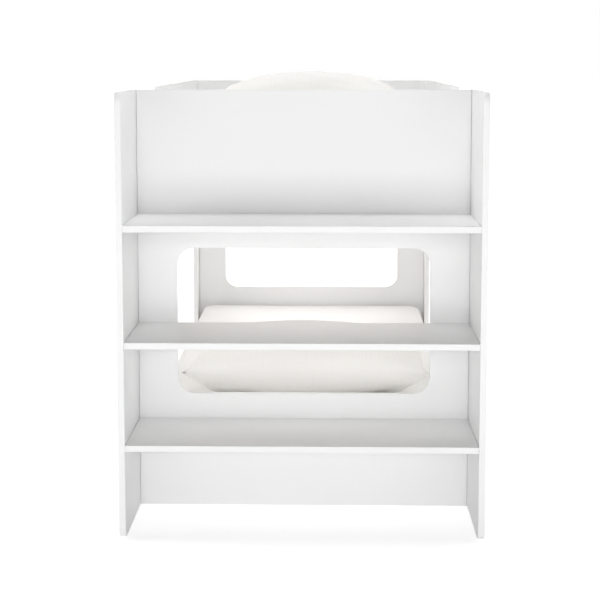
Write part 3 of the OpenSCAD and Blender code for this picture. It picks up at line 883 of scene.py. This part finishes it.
padCut = {"planRadius": 0.045, "edgeRadius": 0.016, "edgeSteps": 5, "cell": 0.014, "wallCell": 0.012,
          "cornerSteps": 5, "swell": 0.004, "cap": 0.010, "waviness": 0.0016, "wave": (5.0, 5.0),
          "ripple": (13.0, 9.0), "rippleShare": 0.6, "underShare": 0.2, "seamRadius": 0.0010,
          "stitches": (0.0042, 0.0030, 0.0008),
          "fill": {"quality": 5, "mass": 0.3, "airDamping": 5.0, "stretch": 60.0, "shear": 5.0, "bend": 4.0,
                   "pressure": 3.0, "frames": 16, "pinStiffness": 1.0}}


def planPoint(x, y, halfX, halfY, radius):
    # maps a point of a plain rectangle into one with round corners
    overX, overY = abs(x) - (halfX - radius), abs(y) - (halfY - radius)
    if overX <= 0 or overY <= 0:
        return x, y
    u, v = overX / radius, overY / radius
    newX = halfX - radius + radius * u * math.sqrt(1 - v * v / 2)
    newY = halfY - radius + radius * v * math.sqrt(1 - u * u / 2)
    return math.copysign(newX, x), math.copysign(newY, y)


def spreadLines(half):
    # grid lines across a cover, closer together in its round corners
    radius, steps = padCut["planRadius"], padCut["cornerSteps"]
    straight = max(1, round(2 * (half - radius) / padCut["cell"]))
    lines = [-half + radius * i / steps for i in range(steps)]
    lines += [-(half - radius) + 2 * (half - radius) * i / straight for i in range(straight + 1)]
    lines += [half - radius + radius * (i + 1) / steps for i in range(steps)]
    return lines


def wallRows(halfZ):
    # how far in and how high each row of a cover's side lies, from its top rim to its bottom one
    edge, steps = padCut["edgeRadius"], padCut["edgeSteps"]
    angles = [math.pi / 2 * i / steps for i in range(steps + 1)]
    rows = [(edge * (1 - math.sin(angle)), halfZ - edge * (1 - math.cos(angle))) for angle in angles]
    count = max(2, round(2 * (halfZ - edge) / padCut["wallCell"]))
    rows += [(0.0, (halfZ - edge) * (1 - 2 * i / count)) for i in range(1, count)]
    return rows + [(inset, -z) for inset, z in reversed(rows[:steps + 1])]


def ripple(verts, centre, seed):
    # the unevenness of a used cover, fainter underneath
    (waveX, waveY), (rippleX, rippleY) = padCut["wave"], padCut["ripple"]
    for vertex in verts:
        side = 1 if vertex.z > centre.z else -1
        height = noise.noise(Vector((vertex.x * waveX, vertex.y * waveY, seed + side)))
        height += padCut["rippleShare"] * noise.noise(
            Vector((vertex.x * rippleX, vertex.y * rippleY, seed + 4 + side)))
        vertex.z += height * padCut["waviness"] * (1.0 if side > 0 else padCut["underShare"])


def padShell(name, low, high, seed):
    # a closed cover: two panels that share their rims with the rings of the wall between them
    inner = padCut["swell"]
    centre = (Vector(low) + Vector(high)) / 2
    halfX, halfY, halfZ = [(high[a] - low[a]) / 2 - (inner if a < 2 else inner / 2) for a in range(3)]
    linesX, linesY = spreadLines(halfX), spreadLines(halfY)
    countX, countY = len(linesX) - 1, len(linesY) - 1
    rim = ([(i, 0) for i in range(countX)] + [(countX, j) for j in range(countY)]
           + [(i, countY) for i in range(countX, 0, -1)] + [(0, j) for j in range(countY, 0, -1)])
    verts, faces, uvs, grid = [], [], [], {}

    def addPoint(i, j, inset, z):
        x, y = planPoint(linesX[i] * (1 - inset / halfX), linesY[j] * (1 - inset / halfY), halfX - inset,
                         halfY - inset, padCut["planRadius"] - inset)
        verts.append(centre + Vector((x, y, z)))
        return len(verts) - 1

    for layer in (1, -1):
        for i in range(countX + 1):
            for j in range(countY + 1):
                grid[layer, i, j] = addPoint(i, j, padCut["edgeRadius"], layer * halfZ)
        for cells in sheetCells(layer, countX, countY):
            faces.append([grid[layer, a, b] for a, b in cells])
            uvs.append([(verts[k].x, verts[k].y) for k in faces[-1]])
    rings = [[addPoint(i, j, inset, z) for i, j in rim] for inset, z in wallRows(halfZ)[1:-1]]
    rings = [[grid[1, i, j] for i, j in rim], *rings, [grid[-1, i, j] for i, j in rim]]
    middle = rings[len(rings) // 2]
    walk = 0.0
    for k in range(len(rim)):
        following = (k + 1) % len(rim)
        stride = (verts[middle[following]] - verts[middle[k]]).length
        for upper, lower in zip(rings, rings[1:]):
            faces.append([lower[k], lower[following], upper[following], upper[k]])
            uvs.append([(walk, verts[lower[k]].z), (walk + stride, verts[lower[k]].z),
                        (walk + stride, verts[upper[k]].z), (walk, verts[upper[k]].z)])
        walk += stride
    ripple(verts, centre, seed)
    shell = shellFromFaces(name, [tuple(v) for v in verts], faces, uvs)
    seamRow = padCut["edgeSteps"] // 2
    return shell, [rings[seamRow], rings[-1 - seamRow]], [rings[0], rings[-1]]


def makePad(node, body, seed):
    low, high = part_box(node)
    shell, seams, stitchRings = padShell("shell." + node, low, high, seed)
    pin = shell.vertex_groups.new(name="pin")
    pin.add([i for seam in seams for i in seam], 1.0, "REPLACE")
    before = [vertex.co.copy() for vertex in shell.data.vertices]
    filled = inflate(shell, "filled." + node, padCut["fill"])
    for vertex, old in zip(filled.data.vertices, before):
        step = vertex.co - old
        if step.length > padCut["cap"]:
            step *= padCut["cap"] / step.length
        vertex.co = old + step
        vertex.co = [min(max(vertex.co[a], low[a]), high[a]) for a in range(3)]
    filled.data.update()
    moved = max((vertex.co - old).length for vertex, old in zip(filled.data.vertices, before))
    print(node, "filled, moved up to", round(moved, 4))
    pad = subdivided(filled, "cover." + node)
    seamLines, stitchLines = [[([pad.data.vertices[i].co.copy() for i in ring], True) for ring in rings]
                              for rings in (seams, stitchRings)]
    paint(pad, coverLinen)
    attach(pad, body)
    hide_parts(node)
    ridge = cordAlong(seamLines, padCut["seamRadius"], "seam." + node)
    stitches = stitchesAlong(stitchLines, padCut["stitches"], pipingLinen, "stitches." + node)
    for piece in (ridge, stitches):
        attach(piece, body)


makePad("changing_pad", "pad", 3.0)
makePad("lower_mattress", "mattress", 11.0)
makePillow("upper_pillow", "pad_pillow", 21.0)
makePillow("lower_pillow", "mattress_pillow", 5.0)
print("covers filled")


# cam caps

# the profile's points are shares of the cap's radius and of its rise, from the rim in
capCut = {"radius": 0.0086, "rise": 0.0011, "segments": 28,
          "profile": ((1.0, 0.0), (0.985, 0.45), (0.93, 0.85), (0.85, 1.0), (0.62, 0.88), (0.30, 0.84),
                      (0.1395, 0.84), (0.1116, 0.5)), "pip": 0.45}


def capShape():
    # a moulded cap with a soft rim, a shallow dish and a pip in the middle, facing up
    profile = [(capCut["radius"] * out, capCut["rise"] * up) for out, up in capCut["profile"]]
    work = bmesh.new()
    count = capCut["segments"]
    turns = [2 * math.pi * k / count for k in range(count)]
    rings = [[work.verts.new((out * math.cos(turn), out * math.sin(turn), up)) for turn in turns]
             for out, up in profile]
    for outer, inner in zip(rings, rings[1:]):
        for k in range(count):
            work.faces.new((outer[k], outer[(k + 1) % count], inner[(k + 1) % count], inner[k]))
    tip = work.verts.new((0, 0, capCut["rise"] * capCut["pip"]))
    for k in range(count):
        work.faces.new((rings[-1][k], rings[-1][(k + 1) % count], tip))
    work.faces.new(list(reversed(rings[0])))
    for face in work.faces:
        face.smooth = True
    shape = builtObject("capShape", work)
    shape.data.attributes.new("edge", "FLOAT", "FACE")
    return shape


def capSeats():
    # the middle of each cap's seat on its board, and the way it faces
    work = bmesh.new()
    work.from_mesh(nodes["cam_caps"].data)
    bmesh.ops.remove_doubles(work, verts=work.verts, dist=boardFinish["weld"])
    unseen, seats = set(work.verts), []
    while unseen:
        stack, island = [unseen.pop()], []
        while stack:
            vertex = stack.pop()
            island.append(vertex.co.copy())
            for edge in vertex.link_edges:
                other = edge.other_vert(vertex)
                if other in unseen:
                    unseen.remove(other)
                    stack.append(other)
        low, high = extent(island)
        axis = min(range(3), key=lambda a: high[a] - low[a])
        centre = (low + high) / 2
        spread = {}
        for point in island:
            level = round(point[axis], 5)
            spread[level] = max(spread.get(level, 0.0), (point - centre).length)
        outward = Vector((0, 0, 0))
        outward[axis] = 1.0 if spread[max(spread)] > spread[min(spread)] else -1.0
        centre[axis] = max(spread, key=spread.get)
        seats.append((centre, outward))
    work.free()
    return sorted(seats, key=lambda pair: tuple(round(value, 4) for value in pair[0]))


def makeCaps():
    seats = capSeats()
    mesh = bpy.data.meshes.new("capPoints")
    mesh.from_pydata([tuple(place) for place, outward in seats], [], [])
    facing = mesh.attributes.new("outward", "FLOAT_VECTOR", "POINT")
    for item, (place, outward) in zip(facing.data, seats):
        item.vector = outward
    shape = capShape()
    values = {"Cap": shape, "Material": whitePlastic}
    caps = runTree(linkObject("capPoints", mesh), capNodes, values, "camCaps")
    bpy.data.objects.remove(shape)
    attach(caps, "frame")
    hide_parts("cam_caps")
    print("cam caps made,", len(seats))


makeCaps()


# finishes on the CAD pieces that show as they are

def finishCadNodes():
    for name, piece in nodes.items():
        if piece.hide_render:
            continue
        if name.startswith("deck_board"):
            paint(piece, whiteLacquer)
        elif name.startswith(("slat", "cross_rail", "upper_batten_front", "upper_batten_far")):
            paint(piece, birchAcross)
        elif "batten_left" in name or "batten_right" in name:
            paint(piece, birchAlong)
        elif name == "dowels":
            paint(piece, beechPin)
        else:
            paint(piece, zincPlate)


finishCadNodes()


# floor, lights and camera

studio = {"floorColour": (0.82, 0.82, 0.82, 1), "floorGlow": 0.164, "nearGlow": 0.36, "farGlow": 1.0,
          "glowReach": (1.5, 4.5), "floorHalf": 60, "world": 0.10, "backdrop": 1.0}
# each soft box is its place, what it points at, its width and height in metres, and its power in watts
softBoxes = {
    "frontHigh": ((0, -9.0, 2.4), (0, 0, 0.5), (2.0, 1.5), 109.0),
    "frontLeft": ((-4, -4, 1.4), (0, 0, 0.5), (3.0, 3.0), 21.0),
    "frontRight": ((4, -4, 1.4), (0, 0, 0.5), (3.0, 3.0), 25.0),
    "frontFloor": ((0, -2.4, 0.05), (0, -1.6, 0.6), (3.0, 1.5), 31.0),
    "backHigh": ((0, 4.5, 3.5), (0, 0, 0.5), (4.0, 3.0), 71.0),
    "leftBack": ((-4, 2.5, 1.2), (0, 0.4, 0.5), (3.0, 2.5), 53.0),
    "rightBack": ((4, 2.5, 1.2), (0, 0.4, 0.5), (3.0, 2.5), 77.0),
    "leftHigh": ((-4, 0.2, 3.2), (0, 0.2, 0.5), (3.0, 2.5), 74.0),
    "rightHigh": ((4, 0.2, 3.2), (0, 0.2, 0.5), (3.0, 2.5), 49.0),
    "padTall": ((0, -0.45, 3.4), (0, 0.5, 0.9), (1.0, 0.8), 30.0),
    "bayTop": ((0, 0.1, 0.612), (0, 0.1, 0), (0.6, 1.2), 1.0)}


def makeFloor():
    half = studio["floorHalf"]
    mesh = bpy.data.meshes.new("studioFloor")
    corners = [(-half, -half, 0), (half, -half, 0), (half, half, 0), (-half, half, 0)]
    mesh.from_pydata(corners, [], [(0, 1, 2, 3)])
    floor = linkObject("studioFloor", mesh)
    material = bpy.data.materials.new("studioFloor")
    material.use_nodes = True
    tree = material.node_tree
    principled = tree.nodes["Principled BSDF"]
    principled.inputs["Base Color"].default_value = studio["floorColour"]
    principled.inputs["Roughness"].default_value = 0.9
    principled.inputs["Specular IOR Level"].default_value = 0.1
    principled.inputs["Emission Color"].default_value = (1, 1, 1, 1)
    reach = addNode(tree, "ShaderNodeVectorMath", {"operation": "LENGTH"})
    wire(tree, (addNode(tree, "ShaderNodeTexCoord"), "Object", reach, 0))
    glow = remap(tree, reach.outputs["Value"], studio["glowReach"], (studio["nearGlow"], studio["farGlow"]))
    seen = addNode(tree, "ShaderNodeLightPath").outputs["Is Camera Ray"]
    strength = plus(tree, times(tree, glow, seen), studio["floorGlow"])
    feed(tree, strength, principled.inputs["Emission Strength"])
    paint(floor, material)


def makeWorld():
    world = bpy.data.worlds.new("studioWorld")
    bpy.context.scene.world = world
    world.use_nodes = True
    tree = world.node_tree
    background = tree.nodes["Background"]
    background.inputs["Color"].default_value = (1, 1, 1, 1)
    seen = addNode(tree, "ShaderNodeLightPath").outputs["Is Camera Ray"]
    strength = remap(tree, seen, (0.0, 1.0), (studio["world"], studio["backdrop"]))
    feed(tree, strength, background.inputs["Strength"])


def areaLight(name, place, target, size, power):
    light = bpy.data.lights.new(name, "AREA")
    light.shape = "RECTANGLE"
    light.size, light.size_y = size
    light.energy = power
    lamp = linkObject(name, light)
    lamp.location = place
    lamp.rotation_mode = "QUATERNION"
    lamp.rotation_quaternion = (Vector(target) - Vector(place)).to_track_quat("-Z", "Y")
    lamp.visible_camera = False


# the place and clip in metres, the pitch (down) and turn (left) in degrees, the lens and sensor in mm
cameraView = {"place": (0.0529, -3.5815, 0.9822), "pitch": 5.699, "turn": 1.167, "lens": 82.49,
              "sensor": 36.0, "shift": -0.17, "clip": (0.05, 100)}


def makeCamera():
    camera = linkObject("camera", bpy.data.cameras.new("camera"))
    camera.location = cameraView["place"]
    pitch, turn = math.radians(cameraView["pitch"]), math.radians(cameraView["turn"])
    camera.rotation_euler = (math.pi / 2 - pitch, 0, turn)
    camera.data.lens = cameraView["lens"]
    camera.data.sensor_width = cameraView["sensor"]
    camera.data.shift_y = cameraView["shift"]
    camera.data.clip_start, camera.data.clip_end = cameraView["clip"]
    bpy.context.scene.camera = camera


makeFloor()
makeWorld()
for name, (place, target, size, power) in softBoxes.items():
    areaLight(name, place, target, size, power)
makeCamera()
bpy.context.scene.view_settings.view_transform = "Standard"
print("studio ready")
